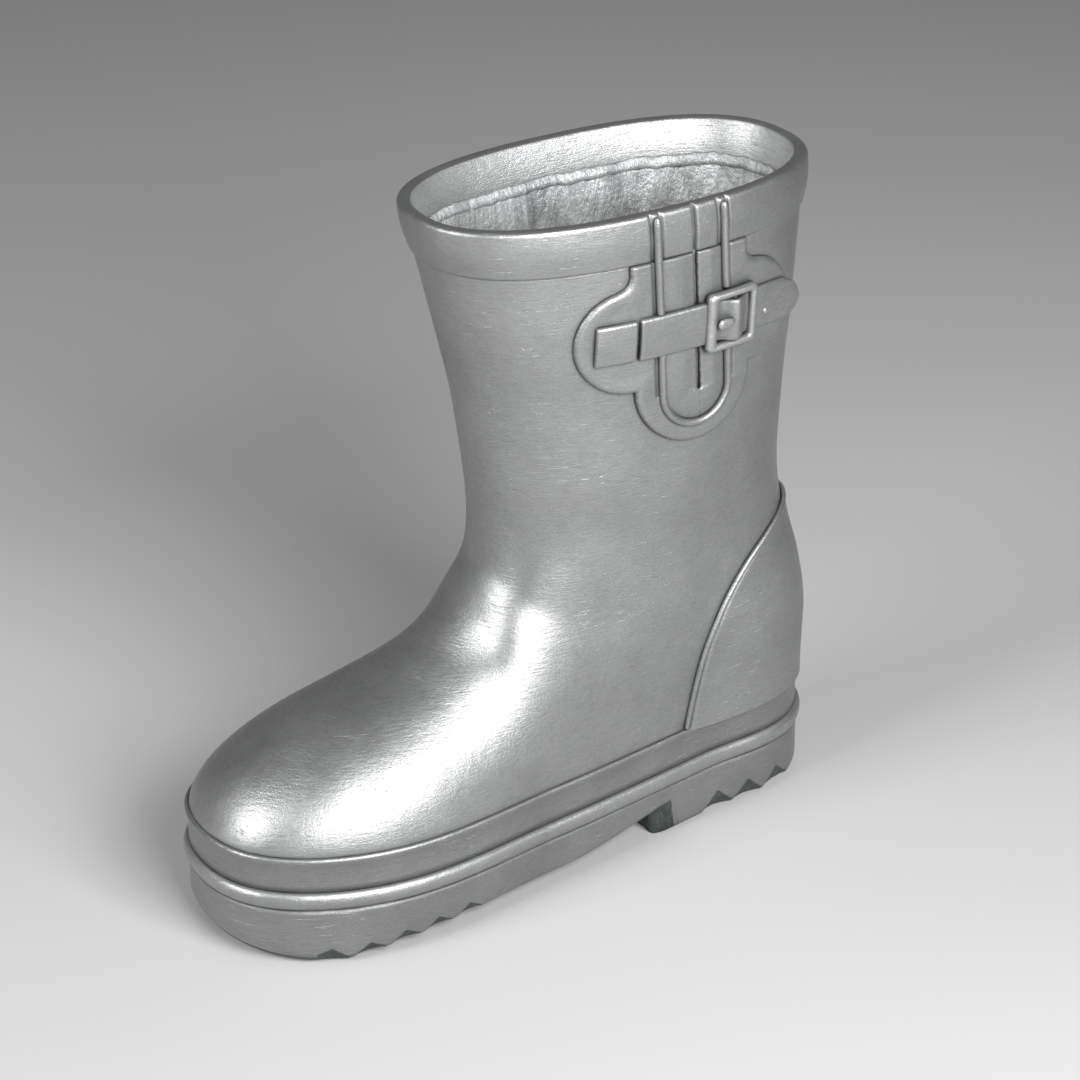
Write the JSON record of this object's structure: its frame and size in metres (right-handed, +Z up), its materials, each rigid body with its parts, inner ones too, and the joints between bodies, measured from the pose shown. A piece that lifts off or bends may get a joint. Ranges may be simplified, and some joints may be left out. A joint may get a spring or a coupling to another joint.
{
  "type": "ornamental wellington boot",
  "caption": "Life-size silvered ankle-height wellington boot, open at the top, with a clover-shaped side gusset, strap and buckle, banded sole and grooved tread.",
  "frame": {"origin": "centre of the overall footprint, on the ground under the heel and tread", "axes": "+Z up through the mouth, -X towards the toe, -Y towards the buckle side"},
  "size_m": [0.3006, 0.1117, 0.3],
  "materials": {
    "silver": "satin silver leaf over a cast body, brushed grain, dark patina in the creases",
    "inner_grey": "rough silver-grey backing, brush-marked",
    "bare_resin": "unpainted dark green-black cast resin, matt"
  },
  "bodies": {
    "boot": {"boot_shell": "silver", "top_collar": "silver", "inner_laminate": "inner_grey", "laminate_edge_tape": "inner_grey", "footbed": "inner_grey", "heel_counter": "silver", "counter_bead": "silver", "foxing_band": "silver", "welt_bead": "silver", "sole_core": "bare_resin", "outsole": "silver", "forefoot_tread": "bare_resin", "heel_block": "bare_resin", "gusset_patch": "silver", "gusset_flap_front": "silver", "gusset_flap_rear": "silver", "gusset_cord_loop": "silver", "gusset_cord_front": "silver", "gusset_cord_rear": "silver", "strap_tab": "silver", "strap": "silver", "buckle_frame": "silver", "buckle_bar": "silver", "strap_rivet": "silver"},
    "prong": {"buckle_prong": "silver"}
  },
  "joints": [
    {"name": "prong_hinge", "type": "hinge", "parent": "boot", "child": "prong", "pos_m": [0.08077, -0.04931, 0.24672], "axis": [0.0063, -0.0606, 0.9981], "range_deg": [0, 95]}
  ]
}
